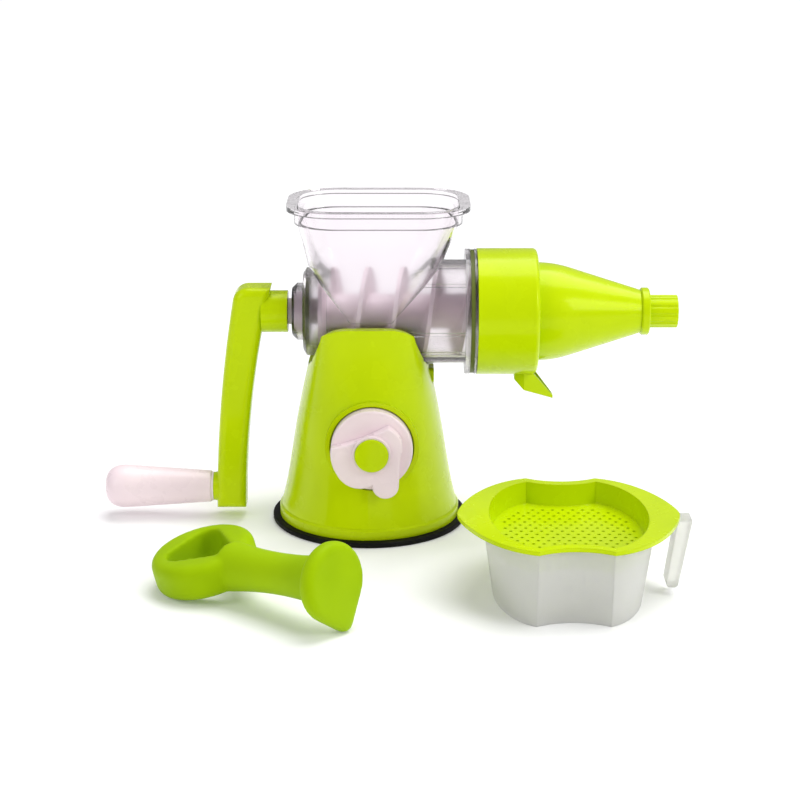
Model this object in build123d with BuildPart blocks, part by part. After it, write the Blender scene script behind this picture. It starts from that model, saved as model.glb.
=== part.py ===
from build123d import *
import os
from math import acos, asin, atan2, cos, degrees, hypot, pi, radians, sin

# A hand cranked wheatgrass juicer on a suction foot, with its pusher, juice cup and sieve.
# Millimetres, +Z up. The origin is the centre of the suction foot on the table. The auger's
# axis runs along X: the crank is at -X, the pulp nozzle at +X, and the suction dial faces -Y.

os.makedirs("parts", exist_ok=True)

# ---------------------------------------------------------------- fits and clearances
running_fit = 0.06  # radial, a shaft turning or sliding in its bore
seat_fit = 0.05  # radial, a still piece in its seat
free_gap = 0.4  # between moving pieces that never touch
screw_fit = 0.2  # radial, a screw shank in its through hole
thread_relief = 1.0  # depth left free past the end of a screw or pin

# ---------------------------------------------------------------- main heights and walls
axis_z = 136.0  # height of the auger's axis
housing_foot_r = 56.4  # housing at the top of its skirt
skirt_proud = 1.2  # the skirt stands out from the housing
skirt_r = housing_foot_r + skirt_proud  # bottom edge of the housing
skirt_top = 10.5
foot_proud = 4.4  # the rubber foot stands out from the skirt
foot_r = skirt_r + foot_proud
foot_lip = 3.6  # thickness of the foot's visible rim
housing_wall = 2.6
barrel_bore_r = 29.6
barrel_wall = 3.0
barrel_r = barrel_bore_r + barrel_wall
cradle_gap = 0.8  # between the barrel and the channel it lies in
channel_r = barrel_r + cradle_gap

# ---------------------------------------------------------------- housing
housing_low_z = 47.0
housing_low_x = 49.0
housing_low_y = 51.0
housing_mid_z = 78.0
housing_mid_x = 43.6
housing_mid_y = 47.0
housing_high_z = 107.0
housing_high_x = 37.2
housing_high_y = 42.6
arch_top_z = 133.5
arch_top_x = 32.6
arch_top_y = 39.6
foot_fullness = 0.552  # of the housing's outline, from an ellipse up to nearly a square
low_fullness = 0.60
mid_fullness = 0.68
high_fullness = 0.80
arch_fullness = 0.92
skirt_edge_z = 1.2  # bevel on the skirt's top edge
skirt_edge_r = 1.0
skirt_step = 0.8  # the skirt's wall stands in from the housing's wall above it
arch_shoulder_r = 27.0  # rounded shoulders, seen from the front
arch_half_x = 34.2  # the rounded arch's own half width at its top
arch_lean = 0.21  # inward lean of the housing's silhouette, as a slope
saddle_wall = 3.0
ledge_z = 109.0  # ledges inside the channel that carry the barrel's side rails
rail_thickness = 3.0
rail_half_width = 22.0
rail_start_x = -24.0

# ---------------------------------------------------------------- base plate and screws
plate_z = 10.0
plate_thickness = 3.0
plate_r = 46.0
guide_wall = 2.6  # wall of the rod's guide
guide_height = 16.0
post_circle_r = 38.0
post_r = 5.0
post_count = 4
post_height = 22.0
post_rib_short = 0.5  # a post's rib ends this far inside the housing's outer face
post_rib = housing_low_y - post_rib_short - post_circle_r
post_rib_width = 3.0
screw_r = 1.7
screw_head_r = 3.4
screw_head_h = 2.2
screw_length = 12.0

# ---------------------------------------------------------------- suction cup and lifting gear
cup_hollow_r = 52.0
membrane = 2.6
membrane_rise = 5.0
boss_r = 10.0
boss_top_z = 15.5
stud_z = 9.5  # underside of the stud moulded into the cup
stud_r = 7.0
stud_thickness = 2.5
rod_r = 4.5
rod_top_z = 39.0
suction_lift = 5.0  # travel of the lifting rod
suction_turn = 100.0  # turn of the dial that gives it, in degrees

# ---------------------------------------------------------------- dial, cam and shaft
dial_x = 2.5
dial_z = 61.0
dial_r = 25.3
recess_gap = 0.9
recess_floor_y = -43.5
recess_wall = 2.8
recess_collar = 6.5  # depth of the wall round the recess
dial_face_y = -53.8  # front of the round disc
plateau_y = -60.5  # front of the raised wing
dial_front_y = -63.5  # front of the ring round the cap
tab_reach = 22.5
tab_r = 8.2
tab_angle = -68.0
cap_r = 10.4
cap_proud = 1.2
cap_depth = 2.4
ring_wall = 1.6
wing_edge_r = 1.2
wing_start_angle = 172.0  # where the raised wing leaves the round edge
wing_low_angle = 212.0
wing_tab_angle = 236.0
wing_bend_z = 7.4
wing_ridge_x = 10.0  # crest of the raised wing, right of and above the cap
wing_ridge_z = 16.5
wing_shoulder_x = 16.3
wing_shoulder_z = 11.6
wing_side_x = 17.5
wing_side_z = -2.5
dial_edge_r = 1.2
ring_taper = 8.0
shaft_r = 5.0
shaft_front_y = -57.0
bush_r = 8.0
bush_flange_r = 11.0
bush_flange = 1.6
bush_length = 10.0
shaft_boss_r = 12.0
cam_r = 20.5
cam_thickness = 5.0
follower_r = 2.0
follower_start = 15.5  # distance of the follower from the dial's axis, cup released
slot_half = follower_r + 2 * running_fit
slot_spare = 1.5  # turn left free past the follower at each end, in degrees
slot_steps = 8
lug_thickness = 4.6
lug_half_width = 6.0
arm_height = 6.0
dial_screw_r = 2.0
dial_screw_head_r = 4.0
dial_screw_head_h = 2.4
dial_screw_length = 15.0

# ---------------------------------------------------------------- release button and catch
button_z = 95.5
button_height = 10.0
button_width = 15.0
button_travel = 3.0
button_face_x = 41.4
button_gap = 0.5
button_cap = 5.0
button_corner_r = 2.5
button_edge_r = 1.0
catch_x = 24.0
catch_length = 6.0
catch_half_width = 5.0
catch_bottom_z = 91.5
notch_depth = 2.2
notch_height = 4.2
tooth_bite = 1.6
latch_bar = 3.0
latch_wall = 2.0

# ---------------------------------------------------------------- barrel and hopper
bell_dome_r = 18.0
bell_dome_x = -47.7
bell_round = 3.0
bell_step_x = -40.5
bell_flange_r = 27.7
bell_flange_back_x = -38.6
bell_flange_x = -33.6
bell_neck_r = 30.4
barrel_rear_x = -28.5
flange_x = 60.5
flange_r = 39.3
flange_width = 7.0
seal_groove_x = 63.6
seal_width = 2.6
seal_depth = 2.8
spigot_r = 34.4
spigot_length = 11.0
lug_count = 3
lug_r = 36.2
lug_arc = 40.0
hopper_wall = 2.4
rim_z = 206.5
rim_left_x = -50.0
rim_right_x = 63.2
rim_half_y = 43.5
rim_corner_r = 31.0
rim_height = 11.0
rim_step = 1.8
rim_lip = 4.8  # the rim's lip stands out from the band under it
rim_lip_height = 3.0
kink_z = 170.0
kink_left_x = -37.0
kink_right_x = 45.6
kink_half_y = 35.5
kink_corner_r = 20.0
throat_left_x = -14.8
throat_right_x = 18.8
throat_corner_r = 5.0
rib_count = 12
rib_width = 2.2
rib_height = 0.7

# ---------------------------------------------------------------- rear bearing
journal_r = 8.2
neck_r = 6.9
bush_rear_r = 13.4
bush_rear_x = -45.2
bush_rear_length = 6.4
rear_seal_r = 22.0
rear_seal_width = 2.4
washer_x = -50.3
washer_width = 2.4

# ---------------------------------------------------------------- auger
hex_flats = 11.0
hex_end_x = -62.0
auger_root_r = 11.0
auger_disc_x = -31.0
auger_disc_gap = 1.5  # between the auger's disc and the rear chamber
auger_disc_r = rear_seal_r - auger_disc_gap
auger_disc_width = 2.6
flight_gap = 0.7
flight_sink = 1.5  # depth that a flight's foot is sunk into the root
flight_pitch = 22.0
flight_root_width = 4.6
flight_tip_width = 2.6
flight_start_x = barrel_rear_x + barrel_wall + flight_root_width / 2 + flight_gap
flight_end_x = 66.0
press_start_x = 70.0  # where the auger's root swells inside the screen
press_end_x = 97.0
press_root_r = 20.0
nose_end_x = 112.0
nose_end_r = 6.0

# ---------------------------------------------------------------- crank and grip
hub_x = -50.5
hub_start_x = -67.0
hub_r = 13.2
arm_half_width = 11.5
arm_top_z = 152.7
arm_bottom_z = 7.8
arm_edge_r = 5.0
grip_z = 19.7
grip_boss_r = 9.0
grip_boss_x = -100.2
grip_boss_taper = 10.0
washer_gap = 0.9
grip_length = 68.8
grip_end_r = 10.1
grip_big_r = 13.8
grip_big_from_end = 13.0
grip_pin_r = 4.0
grip_pin_head_r = 6.4
grip_pin_head = 2.4
grip_pin_length = 50.0
crank_screw_r = 2.5
crank_screw_head_r = 5.2
crank_screw_head = 3.2
crank_screw_length = 10.0  # thread inside the auger's hexagon
screw_seat_x = -70.0
pin_thread = 12.0
arm_corner_r = 5.2
arm_shoulder_r = 9.5
arm_outer_low_x = -97.7
arm_outer_middle_x = -93.3
arm_outer_top_x = -83.2
arm_inner_low_x = -79.2
arm_inner_middle_x = -73.8
arm_inner_top_x = -60.8
arm_middle_z = 82.0
grip_tip_r = 2.0
grip_edge = 0.8

# ---------------------------------------------------------------- collar, cone and nozzle
collar_x = 68.0
collar_r = 39.65
collar_width = 37.8
collar_wall = 2.8
collar_edge_r = 3.0
tab_width = 2.6
cone_r = 30.85
cone_wall = 2.2
cone_blend_r = 68.0
cone_straight_x = 105.6
cone_end_x = 170.9
cone_end_r = 13.5
cone_flange_r = 34.0
cone_flange = 3.0
nose_ring_r = 14.9
nose_ring_width = 5.3
nose_ring_edge = 0.8
tip_edge_r = 0.4
tip_r = 10.3
tip_length = 17.9
tip_bore_r = 6.2
tip_spigot_r = 8.6
tip_spigot_length = 13.0
flute_count = 12
flute_r = 1.5
flute_depth = 0.55
spout_root_x = 92.0
spout_tip_x = 117.0
spout_tip_z = 81.5
spout_half_width = 11.0
spout_root_half_width = 8.8
spout_tip_half_width = 2.6
spout_heel_x = 6.0  # the spout's rounded heel behind its slope
spout_heel_z = 2.5
spout_depth = 9.0
spout_wall = 1.8
spout_slot_length = 8.0

# ---------------------------------------------------------------- juice screen
screen_r = 25.4
screen_wall = 1.2
screen_x = 73.0
screen_length = 29.0
screen_hole_r = 1.1
screen_rows = 6
screen_holes = 20
screen_pitch = 3.6

# ---------------------------------------------------------------- pusher
pusher_ring_x = -94.0
pusher_ring_y = -127.5
pusher_turn = -40.5  # heading of the shaft on the table, in degrees
pusher_roll = 12.0  # roll about the shaft towards the front, in degrees
ring_r = 31.0
ring_height = 22.0
ring_round = 6.0
finger_hole_r = 30.0  # of the triangle before its corners are rounded
finger_corner_r = 9.0
shaft_start = 22.0
shaft_end_r = 15.0
shaft_waist_r = 12.0
head_distance = 101.0  # from the ring's centre to the middle of the head's thickness
head_thickness = 10.0
head_r = 23.0
head_point = 31.0  # from the shaft's axis down to the head's tip
head_tip_r = 6.0
head_edge_r = 4.0

# ---------------------------------------------------------------- juice cup and sieve
cup_x = 117.5
cup_y = -131.0
cup_height = 46.0
cup_wall = 1.8
cup_top_x = 50.0  # half widths and half depths
cup_top_y = 60.0
cup_bottom_x = 43.5
cup_bottom_y = 53.5
cusp_x = 21.0  # the cusps beside the scooped front and back
scoop = 6.0
shoulder_x = 0.80  # fullness of the outline beside the cusps
shoulder_y = 0.86
side_swell = 0.45  # fullness of the round sides
ear_swell = 0.16  # the same where the rim's ears come nearly to a point
handle_top_x = 71.0
handle_low_x = 64.0
handle_top_width = 9.0
handle_low_width = 7.0
handle_depth = 14.0
handle_bottom_z = 5.0
handle_bridge = 4.0
sieve_ear_x = 64.4
sieve_rim_y = 62.5
sieve_thickness = 2.4
sieve_gap = 0.8  # between the sieve's well and the cup's wall
sieve_depth = 13.0
sieve_wall = 1.6
sieve_hole_r = 1.0
sieve_hole_pitch = 6.0
sieve_margin = 4.0  # solid border round the holes

# ================================================================ shared frames and helpers
drive_plane = Plane(origin=(0, 0, axis_z), x_dir=(1, 0, 0), z_dir=(0, -1, 0))
drive_axis = Axis((0, 0, axis_z), (1, 0, 0))
grip_plane = Plane(origin=(0, 0, grip_z), x_dir=(1, 0, 0), z_dir=(0, -1, 0))
grip_axis = Axis((0, 0, grip_z), (1, 0, 0))


def across_drive(x):
    """Plane square to the auger's axis at x, looking along +X."""
    return Plane(origin=(x, 0, axis_z), x_dir=(0, 1, 0), z_dir=(1, 0, 0))


def across_dial(y):
    """Plane square to the dial's axis at y, looking back along -Y."""
    return Plane(origin=(dial_x, y, dial_z), x_dir=(1, 0, 0), z_dir=(0, -1, 0))


def tangent_angle(along, across, reach):
    """The angle a for which along * sin(a) - across * cos(a) equals reach."""
    return atan2(across, along) + asin(reach / hypot(along, across))


def oval(half_x, half_y, fullness):
    """Closed outline of four quarter curves: 0.552 is an ellipse, 1 is nearly square."""
    with BuildSketch(mode=Mode.PRIVATE) as outline:
        with BuildLine():
            for sx, sy in ((1, 1), (-1, 1), (-1, -1), (1, -1)):
                along = ((sx * half_x, 0), (sx * half_x, sy * half_y * fullness))
                up = ((sx * half_x * fullness, sy * half_y), (0, sy * half_y))
                corner = along + up
                Bezier(*(corner if sx * sy > 0 else corner[::-1]))
        make_face()
    return outline.sketch


def housing_loft(inset, bottom_z):
    """The housing's body as a smooth tapering solid, moved inwards by inset."""
    levels = (
        (bottom_z, housing_foot_r, housing_foot_r, foot_fullness),
        (housing_low_z, housing_low_x, housing_low_y, low_fullness),
        (housing_mid_z, housing_mid_x, housing_mid_y, mid_fullness),
        (housing_high_z, housing_high_x, housing_high_y, high_fullness),
        (arch_top_z, arch_top_x, arch_top_y, arch_fullness),
    )
    with BuildPart(mode=Mode.PRIVATE) as body:
        for z, half_x, half_y, fullness in levels:
            with BuildSketch(Plane.XY.offset(z)):
                add(oval(half_x - inset, half_y - inset, fullness))
        loft()
    return body.part


# ================================================================ base housing
with BuildPart() as housing_cavity:
    add(housing_loft(housing_wall, skirt_top))
    with BuildSketch(across_drive(-foot_r)):
        Circle(channel_r + saddle_wall)
    extrude(amount=2 * foot_r, mode=Mode.SUBTRACT)
    with BuildSketch(Plane.XY.offset(ledge_z - saddle_wall)):
        Rectangle(2 * foot_r, 2 * (rail_half_width + saddle_wall))
    extrude(amount=axis_z - ledge_z, mode=Mode.SUBTRACT)

with BuildPart() as base_housing:
    add(housing_loft(0, skirt_top))
    # rounded shoulders of the arch
    with BuildSketch(Plane.XZ.offset(-foot_r)) as arch:
        with BuildLine():
            rise = arch_top_z - skirt_top
            foot_left = (-arch_half_x - rise * arch_lean, skirt_top)
            foot_right = (-foot_left[0], skirt_top)
            top_left = (foot_left[0] + rise * arch_lean, arch_top_z)
            top_right = (-top_left[0], arch_top_z)
            Polyline(foot_left, foot_right, top_right, top_left, close=True)
        make_face()
        fillet(arch.vertices().group_by(Axis.Y)[-1], radius=arch_shoulder_r)
    extrude(amount=2 * foot_r, mode=Mode.INTERSECT)
    # skirt that the suction foot sits under
    with BuildSketch(Plane.XZ):
        with BuildLine():
            skirt_in = housing_foot_r - housing_wall - skirt_step
            Polyline(
                (skirt_in, foot_lip),
                (skirt_r, foot_lip),
                (skirt_r, skirt_top - skirt_edge_z),
                (skirt_r - skirt_edge_r, skirt_top),
                (skirt_in, skirt_top),
                close=True,
            )
        make_face()
    revolve(axis=Axis.Z)
    # channel for the barrel, with ledges for its rails
    with BuildSketch(across_drive(-foot_r)):
        Circle(channel_r)
    extrude(amount=2 * foot_r, mode=Mode.SUBTRACT)
    with BuildSketch(Plane.XY.offset(ledge_z)):
        Rectangle(2 * foot_r, 2 * (rail_half_width + button_gap))
    extrude(amount=axis_z - ledge_z, mode=Mode.SUBTRACT)
    add(housing_cavity.part, mode=Mode.SUBTRACT)
    # recess for the dial, its wall, and the boss that carries the bushing
    with BuildSketch(across_dial(recess_floor_y + bush_length)):
        Circle(shaft_boss_r)
    extrude(amount=bush_length)
    with BuildSketch(across_dial(recess_floor_y + recess_wall)):
        Circle(dial_r + recess_gap + recess_wall)
    extrude(amount=recess_collar)
    with BuildSketch(across_dial(recess_floor_y)):
        Circle(dial_r + recess_gap)
    extrude(amount=foot_r, mode=Mode.SUBTRACT)
    with BuildSketch(across_dial(0)):
        Circle(bush_r + seat_fit)
    extrude(amount=foot_r, mode=Mode.SUBTRACT)
    # screw posts
    with BuildSketch(Plane.XY.offset(plate_z + plate_thickness)):
        with PolarLocations(post_circle_r, post_count, start_angle=45):
            Circle(post_r)
            with Locations((post_rib / 2, 0)):
                Rectangle(post_rib, post_rib_width)
            Circle(screw_r + seat_fit, mode=Mode.SUBTRACT)
    extrude(amount=post_height)
    # window for the release button, and the slot for the barrel's catch
    with BuildSketch(Plane.YZ.offset(catch_x + catch_length + saddle_wall)):
        with Locations((0, button_z)):
            Rectangle(button_width + 2 * button_gap, button_height + 2 * button_gap)
    extrude(amount=foot_r, mode=Mode.SUBTRACT)
    with BuildSketch(Plane.XY.offset(catch_bottom_z)):
        with Locations((catch_x + catch_length / 2, 0)):
            Rectangle(catch_length + 2 * button_gap, 2 * (catch_half_width + button_gap))
    extrude(amount=axis_z - catch_bottom_z, mode=Mode.SUBTRACT)
base_housing.part.label = "base_housing"
export_step(base_housing.part, "parts/base_housing.step")

# ================================================================ base plate and its screws
with BuildPart() as base_plate:
    with BuildSketch(Plane.XY.offset(plate_z)):
        Circle(plate_r)
    extrude(amount=plate_thickness)
    with BuildSketch(Plane.XY.offset(plate_z + plate_thickness)):
        Circle(boss_r + free_gap + guide_wall)
    extrude(amount=guide_height)
    with BuildSketch(Plane.XY.offset(plate_z)):
        Circle(boss_r + free_gap)
    extrude(amount=boss_top_z + suction_lift + free_gap - plate_z, mode=Mode.SUBTRACT)
    with BuildSketch(Plane.XY.offset(plate_z)):
        Circle(rod_r + running_fit)
    extrude(amount=guide_height + plate_thickness, mode=Mode.SUBTRACT)
    with BuildSketch(Plane.XY.offset(plate_z)):
        with PolarLocations(post_circle_r, post_count, start_angle=45):
            Circle(screw_r + screw_fit)
    extrude(amount=plate_thickness, mode=Mode.SUBTRACT)
base_plate.part.label = "base_plate"
export_step(base_plate.part, "parts/base_plate.step")

with BuildPart() as base_screws:
    with BuildSketch(Plane.XY.offset(plate_z - screw_head_h)):
        with PolarLocations(post_circle_r, post_count, start_angle=45):
            Circle(screw_head_r)
    extrude(amount=screw_head_h)
    with BuildSketch(Plane.XY.offset(plate_z)):
        with PolarLocations(post_circle_r, post_count, start_angle=45):
            Circle(screw_r)
    extrude(amount=screw_length)
    fillet(base_screws.faces().group_by(Axis.Z)[0].edges(), radius=screw_head_h / 3)
base_screws.part.label = "base_screws"
export_step(base_screws.part, "parts/base_screws.step")

# ================================================================ suction cup and lifting rod
with BuildPart() as suction_cup:
    with BuildSketch(Plane.XZ):
        with BuildLine():
            Polyline(
                (0, boss_top_z),
                (0, membrane_rise),
                (boss_r, membrane_rise),
                (cup_hollow_r, 0),
                (foot_r - 0.8, 0),
                (foot_r, 0.8),
                (foot_r, foot_lip - 0.6),
                (foot_r - 0.6, foot_lip),
                (cup_hollow_r + 1, foot_lip),
                (boss_r + 2, membrane_rise + membrane),
                (boss_r, membrane_rise + membrane + 1),
                (boss_r, boss_top_z),
                close=True,
            )
        make_face()
    revolve(axis=Axis.Z)
    # pocket moulded round the stud of the lifting rod
    with BuildSketch(Plane.XY.offset(stud_z)):
        Circle(stud_r)
    extrude(amount=stud_thickness, mode=Mode.SUBTRACT)
    with BuildSketch(Plane.XY.offset(stud_z)):
        Circle(rod_r)
    extrude(amount=boss_top_z - stud_z, mode=Mode.SUBTRACT)
suction_cup.part.label = "suction_cup"
export_step(suction_cup.part, "parts/suction_cup.step")

cam_back_y = recess_floor_y + bush_length + bush_flange + running_fit
lug_front_y = cam_back_y + cam_thickness + free_gap
follower_z = dial_z - follower_start
with BuildPart() as pull_rod:
    with BuildSketch(Plane.XY.offset(stud_z)):
        Circle(stud_r)
    extrude(amount=stud_thickness)
    with BuildSketch(Plane.XY.offset(stud_z)):
        Circle(rod_r)
    extrude(amount=rod_top_z - stud_z)
    # arm forward to the cam, with the lug and the follower pin
    with BuildSketch(Plane.XY.offset(rod_top_z - arm_height)):
        with BuildLine():
            Polyline(
                (-lug_half_width, rod_r),
                (lug_half_width, rod_r),
                (dial_x + lug_half_width, lug_front_y),
                (dial_x - lug_half_width, lug_front_y),
                close=True,
            )
        make_face()
    extrude(amount=arm_height)
    with BuildSketch(across_dial(lug_front_y + lug_thickness)):
        with Locations((0, (rod_top_z + follower_z + 2 * follower_r - arm_height) / 2 - dial_z)):
            Rectangle(
                2 * lug_half_width, follower_z + 2 * follower_r - rod_top_z + arm_height
            )
    extrude(amount=lug_thickness)
    with BuildSketch(across_dial(lug_front_y)):
        with Locations((0, follower_z - dial_z)):
            Circle(follower_r)
    extrude(amount=cam_thickness)
pull_rod.part.label = "pull_rod"
export_step(pull_rod.part, "parts/pull_rod.step")

# ================================================================ cam shaft, bushing and dial
lift_per_radian = suction_lift / radians(suction_turn)
slot_overrun = degrees(asin(slot_half / (follower_start - suction_lift))) + slot_spare
with BuildPart() as cam_shaft:
    with BuildSketch(across_dial(cam_back_y + cam_thickness)):
        Circle(cam_r)
    extrude(amount=cam_thickness)
    with BuildSketch(across_dial(cam_back_y)):
        Circle(shaft_r)
    extrude(amount=cam_back_y - shaft_front_y)
    # spiral slot: its radius shrinks evenly as the cam turns, so the lift is even too
    with BuildSketch(across_dial(cam_back_y + cam_thickness)):
        with BuildLine():
            slot_sweep = suction_turn + 2 * slot_overrun
            rims = []
            for offset_r in (slot_half, -slot_half):
                rim = []
                for step in range(slot_steps + 1):
                    turn = radians(slot_sweep * step / slot_steps - slot_overrun)
                    reach = follower_start - lift_per_radian * turn + offset_r
                    rim.append((reach * sin(turn), -reach * cos(turn)))
                rims.append(rim)
            Spline(*rims[0])
            Spline(*rims[1])
            Line(rims[0][0], rims[1][0])
            Line(rims[0][-1], rims[1][-1])
        make_face()
    extrude(amount=cam_thickness, mode=Mode.SUBTRACT)
    with BuildSketch(across_dial(shaft_front_y + dial_screw_length)):
        Circle(dial_screw_r)
    extrude(amount=dial_screw_length, mode=Mode.SUBTRACT)
cam_shaft.part.label = "cam_shaft"
export_step(cam_shaft.part, "parts/cam_shaft.step")

with BuildPart() as cam_bushing:
    with BuildSketch(across_dial(recess_floor_y + bush_length)):
        Circle(bush_r)
    extrude(amount=bush_length)
    with BuildSketch(across_dial(recess_floor_y + bush_length + bush_flange)):
        Circle(bush_flange_r)
    extrude(amount=bush_flange)
    with BuildSketch(across_dial(recess_floor_y + bush_length + bush_flange)):
        Circle(shaft_r + running_fit)
    extrude(amount=foot_r, mode=Mode.SUBTRACT)
cam_bushing.part.label = "cam_bushing"
export_step(cam_bushing.part, "parts/cam_bushing.step")

tab_x = tab_reach * cos(radians(tab_angle))
tab_z = tab_reach * sin(radians(tab_angle))
dial_back_y = recess_floor_y - free_gap


def on_dial_edge(angle):
    """The point of the dial's round edge at an angle in degrees from +X towards +Z."""
    return dial_r * cos(radians(angle)), dial_r * sin(radians(angle))


with BuildPart() as dial_wing:
    # raised wing: from its ridge at the left, round the cap, down to the thumb tab
    with BuildSketch(across_dial(dial_face_y)):
        with BuildLine():
            wing_left = on_dial_edge(wing_start_angle)
            wing_low = on_dial_edge(wing_low_angle)
            wing_round = on_dial_edge((wing_start_angle + wing_low_angle) / 2)
            wing_middle = (-wing_ridge_x, wing_bend_z)
            wing_top = (wing_ridge_x, wing_ridge_z)
            wing_right = (wing_side_x, wing_side_z)
            tab_right = (tab_x + tab_r, tab_z)
            tab_left = (tab_x - tab_r, tab_z)
            Spline(wing_left, wing_middle, wing_top)
            ThreePointArc(wing_top, (wing_shoulder_x, wing_shoulder_z), wing_right)
            Line(wing_right, tab_right)
            ThreePointArc(tab_right, (tab_x, tab_z - tab_r), tab_left)
            ThreePointArc(tab_left, on_dial_edge(wing_tab_angle), wing_low)
            ThreePointArc(wing_low, wing_round, wing_left)
        make_face()
    extrude(amount=dial_face_y - plateau_y)
    fillet(dial_wing.faces().sort_by(Axis.Y)[0].edges(), radius=wing_edge_r)

with BuildPart() as suction_dial:
    with BuildSketch(across_dial(dial_back_y)):
        Circle(dial_r)
    extrude(amount=dial_back_y - dial_face_y)
    fillet(suction_dial.faces().sort_by(Axis.Y)[0].edges(), radius=dial_edge_r)
    add(dial_wing.part)
    with BuildSketch(across_dial(plateau_y)):
        Circle(cap_r + ring_wall)
    extrude(amount=plateau_y - dial_front_y, taper=ring_taper)
    with BuildSketch(across_dial(dial_front_y + cap_depth)):
        Circle(cap_r + seat_fit)
    extrude(amount=cap_depth + cap_proud, mode=Mode.SUBTRACT)
    # counterbore and hole for the screw, blind socket for the shaft
    with BuildSketch(across_dial(dial_front_y + cap_depth + dial_screw_head_h)):
        Circle(dial_screw_head_r + screw_fit)
    extrude(amount=dial_screw_head_h, mode=Mode.SUBTRACT)
    with BuildSketch(across_dial(dial_back_y)):
        Circle(shaft_r)
    extrude(amount=dial_back_y - shaft_front_y, mode=Mode.SUBTRACT)
    with BuildSketch(across_dial(dial_back_y)):
        Circle(dial_screw_r + screw_fit)
    extrude(amount=foot_r, mode=Mode.SUBTRACT)
suction_dial.part.label = "suction_dial"
export_step(suction_dial.part, "parts/suction_dial.step")

with BuildPart() as dial_screw:
    screw_seat_y = dial_front_y + cap_depth + dial_screw_head_h
    with BuildSketch(across_dial(screw_seat_y)):
        Circle(dial_screw_head_r)
    extrude(amount=dial_screw_head_h - free_gap)
    screw_end_y = shaft_front_y + dial_screw_length - thread_relief
    with BuildSketch(across_dial(screw_end_y)):
        Circle(dial_screw_r)
    extrude(amount=screw_end_y - screw_seat_y)
dial_screw.part.label = "dial_screw"
export_step(dial_screw.part, "parts/dial_screw.step")

with BuildPart() as dial_cap:
    with BuildSketch(across_dial(dial_front_y + cap_depth)):
        Circle(cap_r)
    extrude(amount=cap_depth + cap_proud)
    fillet(dial_cap.faces().sort_by(Axis.Y)[0].edges(), radius=cap_proud / 2)
dial_cap.part.label = "dial_cap"
export_step(dial_cap.part, "parts/dial_cap.step")

# ================================================================ release button
with BuildPart() as release_button:
    tooth_x = catch_x + tooth_bite
    with BuildSketch(Plane.XY.offset(button_z - notch_height / 2 + button_gap)):
        with BuildLine():
            # frame round the barrel's catch, with the tooth bar behind it
            bar_x = catch_x + catch_length + button_travel + button_gap
            frame_y = catch_half_width + button_gap + latch_wall
            Polyline(
                (tooth_x - latch_bar, -frame_y),
                (button_face_x - button_cap / 2, -frame_y),
                (button_face_x - button_cap / 2, frame_y),
                (tooth_x - latch_bar, frame_y),
                close=True,
            )
        make_face()
        with Locations(((tooth_x + bar_x) / 2, 0)):
            Rectangle(
                bar_x - tooth_x, 2 * (catch_half_width + button_gap), mode=Mode.SUBTRACT
            )
    extrude(amount=notch_height - 2 * button_gap)
    with BuildSketch(Plane.YZ.offset(button_face_x - button_cap)):
        with Locations((0, button_z)):
            RectangleRounded(button_width, button_height, button_corner_r)
    extrude(amount=button_cap)
    fillet(release_button.faces().sort_by(Axis.X)[-1].edges(), radius=button_edge_r)
release_button.part.label = "release_button"
export_step(release_button.part, "parts/release_button.step")

# ================================================================ barrel and hopper, one clear moulding
def rim_solid(inset, low_z):
    """The rim's outline from low_z up to its top, moved in by inset."""
    with BuildPart(mode=Mode.PRIVATE) as solid:
        with BuildSketch(Plane.XY.offset(low_z)):
            with Locations(((rim_left_x + rim_right_x) / 2, 0)):
                RectangleRounded(
                    rim_right_x - rim_left_x - 2 * inset,
                    2 * (rim_half_y - inset),
                    rim_corner_r - inset,
                )
        extrude(amount=rim_z - low_z)
    return solid.part


def hopper_funnel(inset, floor_z):
    """The funnel from the rim's ledge down to the barrel's middle, moved in by inset."""
    ledge_in = rim_lip + rim_step
    ledge = (rim_left_x + ledge_in, rim_right_x - ledge_in, rim_half_y - ledge_in)
    kink = (kink_left_x, kink_right_x, kink_half_y, kink_corner_r)
    with BuildPart(mode=Mode.PRIVATE) as funnel:
        for upper, lower in (
            (
                (rim_z - rim_height, *ledge, rim_corner_r - rim_lip),
                (kink_z, *kink),
            ),
            (
                (kink_z, *kink),
                (floor_z, throat_left_x, throat_right_x, barrel_r, throat_corner_r),
            ),
        ):
            for level in (upper, lower):
                with BuildSketch(Plane.XY.offset(level[0])):
                    with Locations(((level[1] + level[2]) / 2, 0)):
                        RectangleRounded(
                            level[2] - level[1] - 2 * inset,
                            2 * (level[3] - inset),
                            level[4] - inset,
                        )
            loft(ruled=True)
    return funnel.part


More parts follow.
